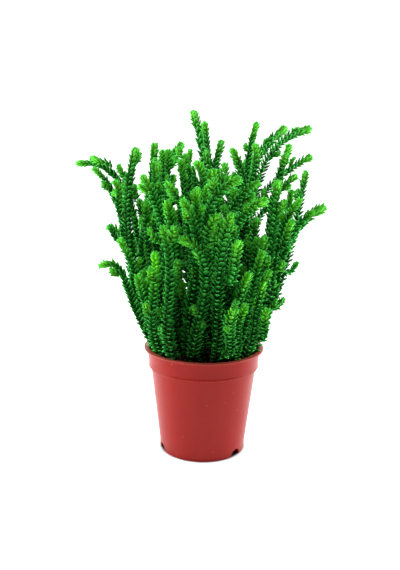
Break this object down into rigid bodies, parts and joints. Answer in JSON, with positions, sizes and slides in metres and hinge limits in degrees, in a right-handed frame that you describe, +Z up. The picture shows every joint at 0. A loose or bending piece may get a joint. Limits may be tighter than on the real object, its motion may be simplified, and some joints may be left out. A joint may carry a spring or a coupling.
{
  "type": "potted watch chain plant",
  "caption": "Small succulent shrub of upright, cord-like shoots wrapped in tiny overlapping leaves, rooted in potting mix in a round tapered nursery pot with a flat lip.",
  "frame": {"origin": "middle of the flat pad under the pot, at the height of the surface that it stands on", "axes": "+Z up along the pot's axis, +Y away from the viewer, +X to the right"},
  "size_m": [0.1798, 0.1294, 0.24],
  "materials": {
    "pot_plastic": "semi-gloss moulded terracotta-red plastic",
    "potting_mix": "dark crumbly peat and bark, matt",
    "leaf_fresh": "waxy bright yellow-green leaves, satin",
    "leaf_mature": "waxy mid to dark green leaves, satin"
  },
  "bodies": {
    "root": {"pot": "pot_plastic", "potting_mix": "potting_mix", "shoot_back_1": "leaf_mature", "shoot_back_2": "leaf_mature", "shoot_back_3": "leaf_mature", "shoot_back_4": "leaf_mature", "shoot_fifth_1": "leaf_mature", "shoot_fifth_2": "leaf_mature", "shoot_fifth_3": "leaf_mature", "shoot_fifth_4": "leaf_mature", "shoot_fifth_5": "leaf_mature", "shoot_fifth_6": "leaf_mature", "shoot_front_1": "leaf_fresh", "shoot_front_2": "leaf_fresh", "shoot_front_3": "leaf_fresh", "shoot_front_4": "leaf_fresh", "shoot_middle_1": "leaf_mature", "shoot_middle_2": "leaf_mature", "shoot_middle_3": "leaf_mature", "shoot_middle_4": "leaf_mature", "shoot_middle_5": "leaf_mature", "shoot_middle_6": "leaf_mature", "shoot_middle_7": "leaf_mature", "shoot_middle_8": "leaf_mature", "shoot_second_1": "leaf_fresh", "shoot_second_2": "leaf_fresh", "shoot_second_3": "leaf_fresh", "shoot_second_4": "leaf_fresh", "shoot_second_5": "leaf_fresh", "shoot_second_6": "leaf_fresh", "shoot_second_7": "leaf_fresh", "shoot_sixth_1": "leaf_mature", "shoot_sixth_2": "leaf_mature", "shoot_sixth_3": "leaf_mature", "shoot_sixth_4": "leaf_mature", "shoot_sixth_5": "leaf_mature", "shoot_sixth_6": "leaf_mature", "shoot_third_1": "leaf_fresh", "shoot_third_2": "leaf_fresh", "shoot_third_3": "leaf_fresh", "shoot_third_4": "leaf_fresh", "shoot_third_5": "leaf_fresh", "shoot_third_6": "leaf_fresh", "shoot_third_7": "leaf_fresh", "shoot_third_8": "leaf_fresh", "shoot_third_9": "leaf_fresh", "side_shoot_1": "leaf_mature", "side_shoot_10": "leaf_fresh", "side_shoot_11": "leaf_fresh", "side_shoot_12": "leaf_fresh", "side_shoot_13": "leaf_fresh", "side_shoot_14": "leaf_mature", "side_shoot_2": "leaf_mature", "side_shoot_3": "leaf_mature", "side_shoot_4": "leaf_mature", "side_shoot_5": "leaf_mature", "side_shoot_6": "leaf_fresh", "side_shoot_7": "leaf_mature", "side_shoot_8": "leaf_fresh", "side_shoot_9": "leaf_fresh"}
  },
  "joints": []
}
